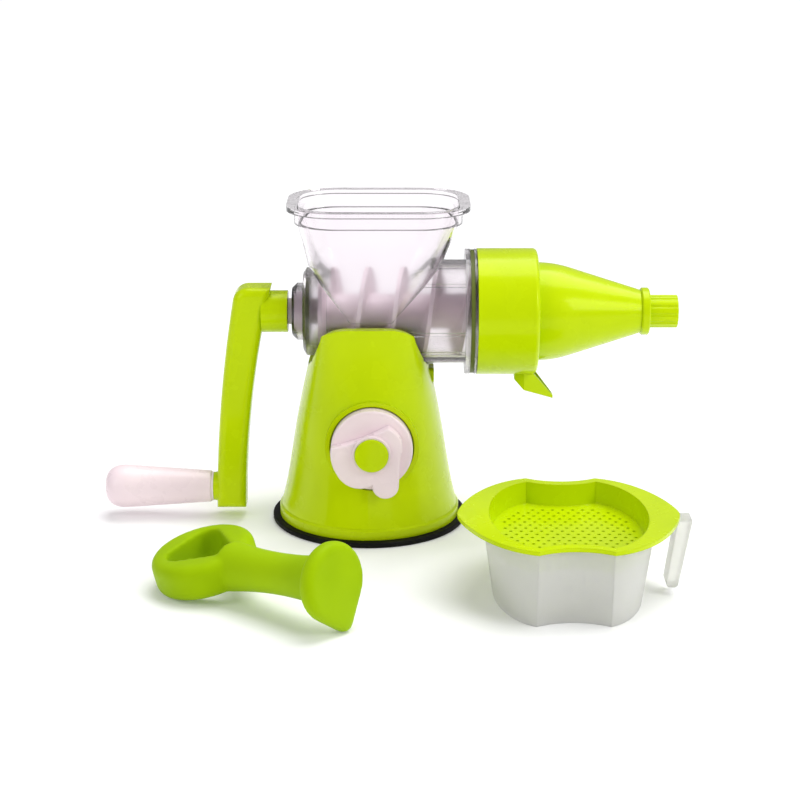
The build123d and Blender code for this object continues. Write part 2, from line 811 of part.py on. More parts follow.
with BuildPart() as barrel_hopper:
    # barrel with its rear bell, front flange and spigot
    with BuildSketch(drive_plane):
        with BuildLine():
            Polyline(
                (bell_dome_x, 0),
                (bell_dome_x, bell_dome_r - bell_round),
                (bell_dome_x + bell_round, bell_dome_r),
                (bell_step_x, bell_dome_r),
                (bell_step_x, bell_flange_r - bell_round),
                (bell_flange_back_x, bell_flange_r),
                (bell_flange_x, bell_flange_r),
                (bell_flange_x, bell_neck_r),
                (barrel_rear_x, bell_neck_r),
                (barrel_rear_x, barrel_r),
                (flange_x, barrel_r),
                (flange_x, flange_r),
                (seal_groove_x, flange_r),
                (seal_groove_x, flange_r - seal_depth),
                (seal_groove_x + seal_width, flange_r - seal_depth),
                (seal_groove_x + seal_width, flange_r),
                (flange_x + flange_width, flange_r),
                (flange_x + flange_width, spigot_r),
                (flange_x + flange_width + spigot_length, spigot_r),
                (flange_x + flange_width + spigot_length, 0),
                close=True,
            )
        make_face()
    revolve(axis=drive_axis)
    add(hopper_funnel(0, axis_z))
    # rim band and the lip round its top
    add(rim_solid(rim_lip, rim_z - rim_height))
    add(rim_solid(0, rim_z - rim_lip_height))
    # side rails that rest on the housing's ledges
    with BuildSketch(Plane.XY.offset(ledge_z)):
        with Locations(((rail_start_x + flange_x) / 2, 0)):
            Rectangle(flange_x - rail_start_x, 2 * rail_half_width)
    extrude(amount=rail_thickness)
    # catch under the barrel for the release button's tooth
    with BuildSketch(Plane.XZ.offset(-catch_half_width)):
        with Locations((catch_x + catch_length / 2, (catch_bottom_z + axis_z) / 2)):
            Rectangle(catch_length, axis_z - catch_bottom_z)
        with Locations((catch_x + notch_depth / 2, button_z)):
            Rectangle(notch_depth, notch_height, mode=Mode.SUBTRACT)
    extrude(amount=2 * catch_half_width)
    # hollow of the rim and the funnel
    add(rim_solid(rim_lip + hopper_wall, rim_z - rim_height), mode=Mode.SUBTRACT)
    add(hopper_funnel(hopper_wall, axis_z), mode=Mode.SUBTRACT)
    # bore, rear chamber and bearing seat
    with BuildSketch(drive_plane):
        with BuildLine():
            bore_rear_x = barrel_rear_x + barrel_wall
            bore_end_x = flange_x + flange_width + spigot_length
            Polyline(
                (bell_dome_x, 0),
                (bell_dome_x, journal_r + running_fit),
                (bush_rear_x, journal_r + running_fit),
                (bush_rear_x, bush_rear_r + seat_fit),
                (bush_rear_x + bush_rear_length, bush_rear_r + seat_fit),
                (bush_rear_x + bush_rear_length, rear_seal_r + seat_fit),
                (bore_rear_x, rear_seal_r + seat_fit),
                (bore_rear_x, barrel_bore_r),
                (bore_end_x, barrel_bore_r),
                (bore_end_x, 0),
                close=True,
            )
        make_face()
    revolve(axis=drive_axis, mode=Mode.SUBTRACT)
    # ribs along the bore that hold the grass against the auger
    with BuildSketch(across_drive(bore_rear_x)):
        with PolarLocations(barrel_bore_r, rib_count, start_angle=180 / rib_count):
            Rectangle(2 * rib_height, rib_width)
    extrude(amount=flange_x - bore_rear_x)
    add(hopper_funnel(hopper_wall, axis_z), mode=Mode.SUBTRACT)
    # bayonet lugs on the spigot
    with BuildSketch(across_drive(collar_x + tab_width + 2 * free_gap)):
        with PolarLocations(0, lug_count, start_angle=90):
            with BuildLine():
                CenterArc((0, 0), lug_r, -lug_arc / 2, lug_arc)
                CenterArc((0, 0), spigot_r - barrel_wall / 2, -lug_arc / 2, lug_arc)
            make_hull()
        Circle(spigot_r - barrel_wall / 2, mode=Mode.SUBTRACT)
    extrude(amount=tab_width)
barrel_hopper.part.label = "barrel_hopper"
export_step(barrel_hopper.part, "parts/barrel_hopper.step")

# ================================================================ seals and rear bearing
def ring_on_drive(start_x, width, outer_r, inner_r):
    """A plain ring round the auger's axis."""
    with BuildPart(mode=Mode.PRIVATE) as ring:
        with BuildSketch(across_drive(start_x)):
            Circle(outer_r)
            Circle(inner_r, mode=Mode.SUBTRACT)
        extrude(amount=width)
    return ring.part


with BuildPart() as flange_seal:
    add(ring_on_drive(seal_groove_x, seal_width, flange_r - 0.5, flange_r - seal_depth))
flange_seal.part.label = "flange_seal"
export_step(flange_seal.part, "parts/flange_seal.step")

with BuildPart() as rear_bushing:
    add(ring_on_drive(bush_rear_x, bush_rear_length, bush_rear_r, journal_r + running_fit))
rear_bushing.part.label = "rear_bushing"
export_step(rear_bushing.part, "parts/rear_bushing.step")

with BuildPart() as rear_seal:
    seal_x = bush_rear_x + bush_rear_length
    add(ring_on_drive(seal_x, rear_seal_width, rear_seal_r, journal_r + running_fit))
rear_seal.part.label = "rear_seal"
export_step(rear_seal.part, "parts/rear_seal.step")

with BuildPart() as thrust_washer:
    add(ring_on_drive(washer_x, washer_width, journal_r, neck_r + seat_fit))
thrust_washer.part.label = "thrust_washer"
export_step(thrust_washer.part, "parts/thrust_washer.step")

# ================================================================ auger
def flight(start_x, end_x, root_r, tip_r_value, root_width, tip_width, pitch):
    """One left-handed spiral blade round the auger's axis."""
    sunk_r = root_r - flight_sink
    with BuildPart(mode=Mode.PRIVATE) as blade:
        with BuildLine():
            Helix(
                pitch=pitch,
                height=end_x - start_x,
                radius=sunk_r,
                center=(start_x, 0, axis_z),
                direction=(1, 0, 0),
                lefthand=True,
            )
        with BuildSketch(Plane(origin=(start_x, 0, axis_z), x_dir=(1, 0, 0), z_dir=(0, -1, 0))):
            with BuildLine():
                Polyline(
                    (-root_width / 2, sunk_r),
                    (root_width / 2, sunk_r),
                    (tip_width / 2, tip_r_value),
                    (-tip_width / 2, tip_r_value),
                    close=True,
                )
            make_face()
        sweep(is_frenet=True)
    return blade.part


with BuildPart() as auger:
    with BuildSketch(drive_plane):
        with BuildLine():
            disc_end_x = auger_disc_x + auger_disc_width
            Polyline(
                (washer_x, 0),
                (washer_x, neck_r),
                (washer_x + washer_width, neck_r),
                (washer_x + washer_width, journal_r),
                (auger_disc_x, journal_r),
                (auger_disc_x, auger_disc_r),
                (disc_end_x, auger_disc_r),
                (disc_end_x + auger_disc_width, auger_root_r),
                (press_start_x, auger_root_r),
                (press_end_x, press_root_r),
                (nose_end_x, nose_end_r),
                (nose_end_x, 0),
                close=True,
            )
        make_face()
    revolve(axis=drive_axis)
    add(
        flight(
            flight_start_x,
            flight_end_x,
            auger_root_r,
            barrel_bore_r - rib_height - flight_gap,
            flight_root_width,
            flight_tip_width,
            flight_pitch,
        )
    )
    # hexagon that drives the auger, with the crank screw's thread hole
    with BuildSketch(across_drive(hex_end_x)):
        RegularPolygon(hex_flats / 2, 6, major_radius=False)
    extrude(amount=washer_x - hex_end_x)
    with BuildSketch(across_drive(hex_end_x)):
        Circle(crank_screw_r)
    extrude(amount=crank_screw_length, mode=Mode.SUBTRACT)
auger.part.label = "auger"
export_step(auger.part, "parts/auger.step")

# ================================================================ crank arm, its screw and the grip
with BuildPart() as crank_arm:
    with BuildSketch(Plane.XZ.offset(-arm_half_width)) as arm_side:
        with BuildLine():
            outer_low = (arm_outer_low_x, arm_bottom_z)
            outer_top = (arm_outer_top_x, arm_top_z)
            inner_low = (arm_inner_low_x, arm_bottom_z)
            inner_top = (arm_inner_top_x, arm_top_z)
            ThreePointArc(outer_low, (arm_outer_middle_x, arm_middle_z), outer_top)
            Line(outer_top, inner_top)
            ThreePointArc(inner_top, (arm_inner_middle_x, arm_middle_z), inner_low)
            Line(inner_low, outer_low)
        make_face()
        ends = arm_side.vertices().group_by(Axis.Y)
        fillet(ends[-1].sort_by(Axis.X)[0], radius=arm_shoulder_r)
        fillet(ends[-1].sort_by(Axis.X)[-1], radius=arm_corner_r)
        fillet(ends[0], radius=arm_corner_r)
    extrude(amount=2 * arm_half_width)
    arm_sides = crank_arm.faces().sort_by(Axis.Y)
    fillet(arm_sides[0].edges() + arm_sides[-1].edges(), radius=arm_edge_r)
    # hub on the auger's hexagon
    with BuildSketch(across_drive(hub_start_x)):
        Circle(hub_r)
    extrude(amount=hub_x - hub_start_x)
    # boss that the grip's pin screws through
    with BuildSketch(Plane(origin=(grip_boss_x, 0, grip_z), x_dir=(0, 1, 0), z_dir=(1, 0, 0))):
        Circle(grip_boss_r)
    extrude(amount=arm_outer_low_x - grip_boss_x + arm_edge_r, taper=-grip_boss_taper)
    with BuildSketch(across_drive(hex_end_x)):
        RegularPolygon(hex_flats / 2 + seat_fit, 6, major_radius=False)
    extrude(amount=hub_x - hex_end_x, mode=Mode.SUBTRACT)
    with BuildSketch(across_drive(grip_boss_x)):
        Circle(crank_screw_r + screw_fit)
    extrude(amount=hub_x - grip_boss_x, mode=Mode.SUBTRACT)
    with BuildSketch(across_drive(grip_boss_x)):
        Circle(crank_screw_head_r + screw_fit)
    extrude(amount=screw_seat_x - grip_boss_x, mode=Mode.SUBTRACT)
    with BuildSketch(Plane(origin=(grip_boss_x, 0, grip_z), x_dir=(0, 1, 0), z_dir=(1, 0, 0))):
        Circle(grip_pin_r)
    extrude(amount=pin_thread, mode=Mode.SUBTRACT)
crank_arm.part.label = "crank_arm"
export_step(crank_arm.part, "parts/crank_arm.step")

with BuildPart() as crank_screw:
    with BuildSketch(across_drive(screw_seat_x - crank_screw_head)):
        Circle(crank_screw_head_r)
    extrude(amount=crank_screw_head)
    fillet(crank_screw.faces().sort_by(Axis.X)[0].edges(), radius=crank_screw_head / 3)
    with BuildSketch(across_drive(screw_seat_x)):
        Circle(crank_screw_r)
    extrude(amount=hex_end_x + crank_screw_length - thread_relief - screw_seat_x)
crank_screw.part.label = "crank_screw"
export_step(crank_screw.part, "parts/crank_screw.step")

grip_start_x = grip_boss_x - washer_gap
grip_outer_x = grip_start_x - grip_length
with BuildPart() as grip_washer:
    with BuildSketch(Plane(origin=(grip_start_x, 0, grip_z), x_dir=(0, 1, 0), z_dir=(1, 0, 0))):
        Circle(grip_end_r - grip_edge)
        Circle(grip_pin_r + running_fit, mode=Mode.SUBTRACT)
    extrude(amount=washer_gap)
grip_washer.part.label = "grip_washer"
export_step(grip_washer.part, "parts/grip_washer.step")

pin_head_x = grip_start_x - grip_pin_length
with BuildPart() as grip_pin:
    with BuildSketch(grip_plane):
        with BuildLine():
            Polyline(
                (pin_head_x - grip_pin_head, 0),
                (pin_head_x - grip_pin_head, grip_pin_head_r),
                (pin_head_x, grip_pin_head_r),
                (pin_head_x, grip_pin_r),
                (grip_boss_x + pin_thread - thread_relief, grip_pin_r),
                (grip_boss_x + pin_thread - thread_relief, 0),
                close=True,
            )
        make_face()
    revolve(axis=grip_axis)
grip_pin.part.label = "grip_pin"
export_step(grip_pin.part, "parts/grip_pin.step")

with BuildPart() as grip:
    with BuildSketch(grip_plane):
        with BuildLine():
            big_x = grip_outer_x + grip_big_from_end
            bore_r = grip_pin_r + running_fit
            head_room_x = pin_head_x - grip_pin_head - thread_relief
            Line((grip_outer_x, 0), (grip_outer_x, grip_tip_r))
            Spline(
                (grip_outer_x, grip_tip_r),
                (big_x, grip_big_r),
                tangents=((0, 1), (1, 0)),
            )
            Polyline(
                (big_x, grip_big_r),
                (grip_start_x - grip_edge, grip_end_r),
                (grip_start_x, grip_end_r - grip_edge),
                (grip_start_x, bore_r),
                (pin_head_x + running_fit, bore_r),
                (pin_head_x + running_fit, grip_pin_head_r + free_gap),
                (head_room_x, grip_pin_head_r + free_gap),
                (head_room_x, 0),
                (grip_outer_x, 0),
            )
        make_face()
    revolve(axis=grip_axis)
grip.part.label = "grip"
export_step(grip.part, "parts/grip.step")

# ================================================================ collar with the juice spout
collar_end_x = collar_x + collar_width
collar_low_z = axis_z - collar_r
spout_mouth_x = spout_tip_x + spout_wall
with BuildPart() as spout_block:
    # side view of the spout, then its plan, then the trough inside it
    with BuildSketch(Plane.XZ.offset(-spout_half_width)):
        with BuildLine():
            root_z = collar_low_z + 3 * spout_wall
            Polyline(
                (spout_root_x, root_z),
                (spout_root_x, collar_low_z - spout_heel_z),
                (spout_root_x + spout_heel_x, collar_low_z - spout_depth),
                (spout_tip_x, spout_tip_z - spout_wall),
                (spout_tip_x, spout_tip_z),
                (collar_end_x - collar_edge_r, collar_low_z + collar_edge_r),
                (collar_end_x - 2 * collar_edge_r, root_z),
                close=True,
            )
        make_face()
    extrude(amount=2 * spout_half_width)
    with BuildSketch(Plane.XY.offset(spout_tip_z - 2 * spout_wall)):
        with BuildLine():
            Polyline(
                (spout_root_x, -spout_root_half_width),
                (spout_root_x + spout_heel_x, -spout_half_width),
                (spout_tip_x, -spout_tip_half_width),
                (spout_tip_x, spout_tip_half_width),
                (spout_root_x + spout_heel_x, spout_half_width),
                (spout_root_x, spout_root_half_width),
                close=True,
            )
        make_face()
    extrude(amount=foot_r, mode=Mode.INTERSECT)

with BuildPart() as spout_trough:
    with BuildSketch(Plane.XZ.offset(-spout_half_width)):
        with BuildLine():
            Polyline(
                (spout_root_x + spout_wall, axis_z),
                (spout_root_x + spout_wall, collar_low_z - spout_heel_z),
                (spout_root_x + spout_heel_x, collar_low_z - spout_depth + spout_wall),
                (spout_mouth_x, spout_tip_z),
                (spout_mouth_x, axis_z),
                close=True,
            )
        make_face()
    extrude(amount=2 * spout_half_width)
    with BuildSketch(Plane.XY.offset(spout_tip_z - 2 * spout_wall)):
        with BuildLine():
            Polyline(
                (spout_root_x, spout_wall - spout_root_half_width),
                (spout_root_x + spout_heel_x, spout_wall - spout_half_width),
                (spout_mouth_x, spout_wall - spout_tip_half_width),
                (spout_mouth_x, spout_tip_half_width - spout_wall),
                (spout_root_x + spout_heel_x, spout_half_width - spout_wall),
                (spout_root_x, spout_root_half_width - spout_wall),
                close=True,
            )
        make_face()
    extrude(amount=collar_low_z + 3 * spout_wall - spout_tip_z, mode=Mode.INTERSECT)

with BuildPart() as juice_collar:
    with BuildSketch(across_drive(collar_x)):
        Circle(collar_r)
    extrude(amount=collar_width)
    fillet(juice_collar.faces().sort_by(Axis.X)[-1].edges(), radius=collar_edge_r)
    add(spout_block.part)
    with BuildSketch(across_drive(collar_x)):
        Circle(collar_r - collar_wall)
    extrude(amount=collar_width - collar_wall, mode=Mode.SUBTRACT)
    with BuildSketch(across_drive(collar_x)):
        Circle(cone_r + seat_fit)
    extrude(amount=collar_width, mode=Mode.SUBTRACT)
    # juice runs through a slot in the collar's wall into the open spout
    with BuildSketch(Plane.XY.offset(collar_low_z - spout_wall)):
        with Locations((spout_root_x + spout_wall + spout_slot_length / 2, 0)):
            Rectangle(spout_slot_length, 2 * (spout_half_width - 2 * spout_wall))
    extrude(amount=collar_wall + 4 * spout_wall, mode=Mode.SUBTRACT)
    with BuildPart(mode=Mode.PRIVATE) as outside_trough:
        add(spout_trough.part)
        with BuildSketch(across_drive(collar_x)):
            Circle(collar_r - collar_wall / 2)
        extrude(amount=collar_width, mode=Mode.SUBTRACT)
    add(outside_trough.part, mode=Mode.SUBTRACT)
    # bayonet tabs that turn in behind the spigot's lugs
    with BuildSketch(across_drive(collar_x + free_gap)):
        with PolarLocations(0, lug_count, start_angle=90):
            with BuildLine():
                CenterArc((0, 0), collar_r - collar_wall / 2, -lug_arc / 2, lug_arc)
                CenterArc((0, 0), spigot_r + free_gap + 1, -lug_arc / 2, lug_arc)
            make_hull()
        Circle(spigot_r + free_gap, mode=Mode.SUBTRACT)
    extrude(amount=tab_width)
juice_collar.part.label = "juice_collar"
export_step(juice_collar.part, "parts/juice_collar.step")

# ================================================================ pulp cone and nozzle tip
blend_turn = tangent_angle(
    cone_end_x - cone_straight_x, cone_r - cone_end_r - cone_blend_r, cone_blend_r
)
cone_start_x = collar_end_x - collar_wall - cone_flange
tip_x = cone_end_x + nose_ring_width
with BuildPart() as pulp_cone:
    with BuildSketch(drive_plane):
        with BuildLine():
            slope_x = cone_straight_x + cone_blend_r * sin(blend_turn)
            slope_r = cone_r - cone_blend_r * (1 - cos(blend_turn))
            blend_middle = (
                cone_straight_x + cone_blend_r * sin(blend_turn / 2),
                cone_r - cone_blend_r * (1 - cos(blend_turn / 2)),
            )
            Polyline(
                (cone_start_x, screen_r + screen_wall + cone_wall),
                (cone_start_x, cone_flange_r),
                (cone_start_x + cone_flange, cone_flange_r),
                (cone_start_x + cone_flange, cone_r),
                (cone_straight_x, cone_r),
            )
            ThreePointArc((cone_straight_x, cone_r), blend_middle, (slope_x, slope_r))
            Polyline(
                (slope_x, slope_r),
                (cone_end_x, cone_end_r),
                (cone_end_x, nose_ring_r - nose_ring_edge),
                (cone_end_x + nose_ring_edge, nose_ring_r),
                (tip_x - nose_ring_edge, nose_ring_r),
                (tip_x, nose_ring_r - nose_ring_edge),
                (tip_x, tip_spigot_r + running_fit),
                (tip_x - tip_spigot_length - thread_relief, tip_spigot_r + running_fit),
                (slope_x, slope_r - cone_wall),
                (cone_start_x, screen_r + screen_wall + cone_wall),
            )
        make_face()
    revolve(axis=drive_axis)
pulp_cone.part.label = "pulp_cone"
export_step(pulp_cone.part, "parts/pulp_cone.step")

with BuildPart() as nozzle_tip:
    with BuildSketch(across_drive(tip_x)):
        Circle(tip_r)
        with PolarLocations(tip_r + flute_r - flute_depth, flute_count):
            Circle(flute_r, mode=Mode.SUBTRACT)
    extrude(amount=tip_length)
    tip_edges = nozzle_tip.faces().sort_by(Axis.X)[-1].edges()
    fillet(tip_edges.filter_by(GeomType.CIRCLE), radius=tip_edge_r)
    with BuildSketch(across_drive(tip_x - tip_spigot_length)):
        Circle(tip_spigot_r)
    extrude(amount=tip_spigot_length)
    with BuildSketch(across_drive(tip_x - tip_spigot_length)):
        Circle(tip_bore_r)
    extrude(amount=tip_spigot_length + tip_length, mode=Mode.SUBTRACT)
nozzle_tip.part.label = "nozzle_tip"
export_step(nozzle_tip.part, "parts/nozzle_tip.step")

# ================================================================ juice screen
with BuildPart() as juice_screen:
    add(ring_on_drive(screen_x, screen_length, screen_r + screen_wall, screen_r))
    add(ring_on_drive(screen_x, 2 * screen_wall, barrel_bore_r - seat_fit, screen_r))
    holes_start_x = flange_x + flange_width + spigot_length + 2 * screen_hole_r
    for row in range(screen_rows):
        row_x = holes_start_x + row * screen_pitch
        for hole in range(screen_holes):
            turn = (hole + row % 2 / 2) * 360 / screen_holes
            hole_plane = Plane(
                origin=(row_x, 0, axis_z),
                x_dir=(1, 0, 0),
                z_dir=(0, cos(radians(turn)), sin(radians(turn))),
            )
            with BuildSketch(hole_plane):
                Circle(screen_hole_r)
            extrude(amount=screen_r + 2 * screen_wall, mode=Mode.SUBTRACT)
juice_screen.part.label = "juice_screen"
export_step(juice_screen.part, "parts/juice_screen.step")

# ================================================================ pusher
roll = radians(pusher_roll)
head_low_x = head_distance - head_thickness / 2


def rest_heights(tilt):
    """Heights of the ring's centre at which the ring, and the head, just touch the table."""
    level = cos(tilt) * cos(roll)
    ring = (ring_r - ring_round) * sin(acos(level))
    ring += (ring_height / 2 - ring_round) * level + ring_round
    head = (head_point - head_tip_r) * level + (head_tip_r - head_edge_r) * cos(tilt)
    head += head_edge_r - (head_low_x + head_edge_r) * sin(tilt)
    return ring, head


# it lies on the ring's rounded edge and the head's tip: the tilt is found by halving
tilt_low, tilt_high = 0, pi / 4
while tilt_high - tilt_low > 1e-9:
    tilt = (tilt_low + tilt_high) / 2
    pusher_z, head_rest_z = rest_heights(tilt)
    if head_rest_z > pusher_z:
        tilt_low = tilt
    else:
        tilt_high = tilt
heading = radians(pusher_turn)
pusher_along = Vector(cos(heading) * cos(tilt), sin(heading) * cos(tilt), sin(tilt))
unrolled_up = Vector(-cos(heading) * sin(tilt), -sin(heading) * sin(tilt), cos(tilt))
pusher_up = unrolled_up * cos(roll) + pusher_along.cross(unrolled_up) * sin(roll)
pusher_frame = Plane(
    origin=(pusher_ring_x, pusher_ring_y, pusher_z), x_dir=pusher_along, z_dir=pusher_up
)
pusher_side = Plane(
    origin=pusher_frame.origin, x_dir=pusher_along, z_dir=pusher_along.cross(pusher_up)
)
head_plane = Plane(
    origin=pusher_frame.from_local_coords(Vector(head_low_x, 0, 0)),
    x_dir=pusher_up.cross(pusher_along),
    z_dir=pusher_along,
)

with BuildPart() as pusher_ring:
    with BuildSketch(pusher_frame.offset(-ring_height / 2)):
        Circle(ring_r)
    extrude(amount=ring_height)
    fillet(pusher_ring.edges(), radius=ring_round)

with BuildPart() as finger_hole:
    with BuildSketch(pusher_frame.offset(-ring_height)) as hole_outline:
        RegularPolygon(finger_hole_r, 3)
        fillet(hole_outline.vertices(), radius=finger_corner_r)
    extrude(amount=2 * ring_height)

with BuildPart() as pusher_head:
    with BuildSketch(head_plane):
        Circle(head_r)
        with Locations((0, head_tip_r - head_point)):
            Circle(head_tip_r)
        make_hull()
    extrude(amount=head_thickness)
    fillet(pusher_head.edges().filter_by(head_plane), radius=head_edge_r)

with BuildPart() as pusher:
    # shaft with a waist, then the ring, its finger hole and the head
    with BuildSketch(pusher_side):
        with BuildLine():
            waist = ((shaft_start + head_distance) / 2, shaft_waist_r)
            ThreePointArc((shaft_start, shaft_end_r), waist, (head_distance, shaft_end_r))
            Polyline(
                (head_distance, shaft_end_r),
                (head_distance, 0),
                (shaft_start, 0),
                (shaft_start, shaft_end_r),
            )
        make_face()
    revolve(axis=Axis(pusher_frame.origin, pusher_along))
    add(pusher_ring.part)
    add(finger_hole.part, mode=Mode.SUBTRACT)
    add(pusher_head.part)
pusher.part.label = "pusher"
export_step(pusher.part, "parts/pusher.step")

# ================================================================ juice cup
cup_plane = Plane(origin=(cup_x, cup_y, 0))


def cup_outline(half_x, half_y, swell):
    """Two round sides that meet the scooped front and back at four cusps."""
    with BuildSketch(mode=Mode.PRIVATE) as outline:
        with BuildLine():
            for side in (1, -1):
                for end in (1, -1):
                    Bezier(
                        (side * cusp_x, end * half_y),
                        (side * half_x * shoulder_x, end * half_y * shoulder_y),
                        (side * half_x, end * half_y * swell),
                        (side * half_x, 0),
                    )
                ThreePointArc(
                    (-cusp_x, side * half_y), (0, side * (half_y - scoop)), (cusp_x, side * half_y)
                )
        make_face()
    return outline.sketch


def cup_half(z, inset):
    """Half width and half depth of the cup at height z, moved in by inset."""
    share = z / cup_height
    half_x = cup_bottom_x + (cup_top_x - cup_bottom_x) * share - inset
    half_y = cup_bottom_y + (cup_top_y - cup_bottom_y) * share - inset
    return half_x, half_y


def cup_solid(inset, bottom_z, top_z):
    """The cup's tapering shape between two heights, moved in by inset."""
    with BuildPart(mode=Mode.PRIVATE) as solid:
        for z in (bottom_z, top_z):
            with BuildSketch(cup_plane.offset(z)):
                add(cup_outline(*cup_half(z, inset), side_swell))
        loft(ruled=True)
    return solid.part


with BuildPart() as juice_cup:
    add(cup_solid(0, 0, cup_height))
    # handle: a bridge out from the rim and a strap that hangs down
    handle_root_x = cup_top_x - 2 * cup_wall
    with BuildSketch(Plane.XZ.offset(-cup_y - handle_depth / 2)) as handle_side:
        with BuildLine():
            Polyline(
                (cup_x + handle_root_x, cup_height),
                (cup_x + handle_top_x, cup_height),
                (cup_x + handle_low_x, handle_bottom_z),
                (cup_x + handle_low_x - handle_low_width, handle_bottom_z),
                (cup_x + handle_top_x - handle_top_width, cup_height - handle_bridge),
                (cup_x + handle_root_x, cup_height - handle_bridge),
                close=True,
            )
        make_face()
        corners = handle_side.vertices().group_by(Axis.Y)
        fillet(corners[0], radius=handle_low_width / 3)
        fillet(corners[-1].sort_by(Axis.X)[-1], radius=handle_bridge)
    extrude(amount=handle_depth)
    add(cup_solid(cup_wall, cup_wall, cup_height), mode=Mode.SUBTRACT)
juice_cup.part.label = "juice_cup"
export_step(juice_cup.part, "parts/juice_cup.step")

# ================================================================ sieve tray on the cup
with BuildPart() as cup_sieve:
    well_inset = cup_wall + sieve_gap
    rim_top_z = cup_height + sieve_thickness
    floor_z = rim_top_z - sieve_depth
    # rim plate with its two ears, and the well that hangs in the cup
    with BuildSketch(cup_plane.offset(cup_height)):
        add(cup_outline(sieve_ear_x, sieve_rim_y, ear_swell))
    extrude(amount=sieve_thickness)
    add(cup_solid(well_inset, floor_z - sieve_wall, cup_height))
    add(cup_solid(well_inset + sieve_wall, floor_z, rim_top_z), mode=Mode.SUBTRACT)
    # perforated floor, in staggered rows
    reach_x, reach_y = cup_half(floor_z, well_inset + sieve_wall + sieve_margin)
    row_pitch = sieve_hole_pitch * sin(pi / 3)
    rows = int((reach_y - scoop) / row_pitch)
    columns = int(reach_x / sieve_hole_pitch)
    with BuildSketch(cup_plane.offset(floor_z - sieve_wall)):
        for row in range(-rows, rows + 1):
            for column in range(-columns, columns + 1):
                spot = ((column + row % 2 / 2) * sieve_hole_pitch, row * row_pitch)
                if hypot(spot[0] / reach_x, spot[1] / reach_y) < 1:
                    with Locations(spot):
                        Circle(sieve_hole_r)
    extrude(amount=sieve_wall, mode=Mode.SUBTRACT)
cup_sieve.part.label = "cup_sieve"
export_step(cup_sieve.part, "parts/cup_sieve.step")
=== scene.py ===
# %% [markdown]
# # A hand cranked wheatgrass juicer
#
# The construction is already there when this notebook starts: 29 pieces at their real size, in
# metres, on the joints that they turn and slide on. What follows gives them a camera, a studio
# and their looks. Every piece keeps its own mesh and gets a finish. The pusher, whose surface flows
# more than a solid model can easily say, also gets a softened skin.

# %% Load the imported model
from math import radians

import bpy
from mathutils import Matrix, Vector

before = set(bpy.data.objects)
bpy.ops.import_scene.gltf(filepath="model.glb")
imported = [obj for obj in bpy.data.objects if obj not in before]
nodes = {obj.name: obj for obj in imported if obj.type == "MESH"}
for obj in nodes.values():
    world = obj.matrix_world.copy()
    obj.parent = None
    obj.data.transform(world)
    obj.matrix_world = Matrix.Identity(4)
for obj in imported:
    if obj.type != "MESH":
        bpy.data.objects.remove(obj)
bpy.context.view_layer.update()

# %% [markdown]
# ## Camera
#
# The picture was taken from a little above the barrel, straight at the dial, with a long lens. The
# camera's height and tilt were worked out from the round foot, which shows as an ellipse, and its
# distance from how much nearer pieces grow.

# %% The camera
camera_data = bpy.data.cameras.new("camera")
camera_data.lens = 89.7
camera_data.sensor_width = 36.0
camera_data.clip_end = 50.0
camera = bpy.data.objects.new("camera", camera_data)
camera.location = (0.0199, -1.218, 0.443)
camera_tilt = 16.7  # degrees below the horizon
camera.rotation_euler = (radians(90 - camera_tilt), 0, 0)
bpy.context.scene.collection.objects.link(camera)
bpy.context.scene.camera = camera
bpy.context.scene.view_settings.view_transform = "Standard"
print("camera at", tuple(round(v, 3) for v in camera.location))

# %% [markdown]
# ## A pale floor
#
# A studio packshot stands on white paper. Here that is one large square that reaches past the top
# of the picture. Its surface gives off a little light of its own, which keeps it white to the far
# edge but leaves the soft shadows under the pieces.


# %% The floor
def set_inputs(node, values):
    """Sets the named inputs of a shader node."""
    for name, value in values.items():
        node.inputs[name].default_value = value


floor_half = 6.0
paper_grains = 900  # to the metre
paper_relief = 0.00002
floor_mesh = bpy.data.meshes.new("floor")
floor_mesh.from_pydata(
    [(x * floor_half, y * floor_half, 0) for x, y in ((-1, -1), (1, -1), (1, 1), (-1, 1))],
    [],
    [(0, 1, 2, 3)],
)
floor = bpy.data.objects.new("floor", floor_mesh)
bpy.context.scene.collection.objects.link(floor)
paper = bpy.data.materials.new("paper")
paper.use_nodes = True
paper_tree = paper.node_tree
paper_shader = paper_tree.nodes["Principled BSDF"]
set_inputs(paper_shader, {"Base Color": (0.9, 0.9, 0.91, 1), "Roughness": 0.9})
set_inputs(paper_shader, {"Emission Color": (1, 1, 1, 1), "Emission Strength": 0.1})
paper_shader.inputs["Specular IOR Level"].default_value = 0.0
paper_grain = paper_tree.nodes.new("ShaderNodeTexNoise")
paper_grain.inputs["Scale"].default_value = paper_grains
paper_bump = paper_tree.nodes.new("ShaderNodeBump")
paper_bump.inputs["Distance"].default_value = paper_relief
paper_tree.links.new(paper_grain.outputs["Fac"], paper_bump.inputs["Height"])
paper_tree.links.new(paper_bump.outputs["Normal"], paper_shader.inputs["Normal"])
floor_mesh.materials.append(paper)
print("floor", 2 * floor_half, "m wide")

# %% [markdown]
# ## Light
#
# The photo's tops are bright and its lower sides dark, so most light comes from a wide soft
# ceiling, a little behind the juicer. Two square lamps in front lift the vertical sides. Their
# size matters, since glossy plastic mirrors them as the broad pale bands that show its curves. A
# dim white room fills the rest.


# %% Two soft lamps, a ceiling and a room
def lamp(name, place, target, size, watts):
    """A square soft lamp that looks at a point."""
    data = bpy.data.lights.new(name, "AREA")
    data.size = size
    data.energy = watts
    light = bpy.data.objects.new(name, data)
    light.location = place
    light.rotation_euler = (Vector(target) - Vector(place)).to_track_quat("-Z", "Y").to_euler()
    bpy.context.scene.collection.objects.link(light)


middle = (0.02, 0, 0.1)
lamp("lamp_left", (-1.1, -0.9, 0.9), middle, 0.9, 7)
lamp("lamp_right", (1.2, -0.8, 0.8), middle, 0.7, 9)

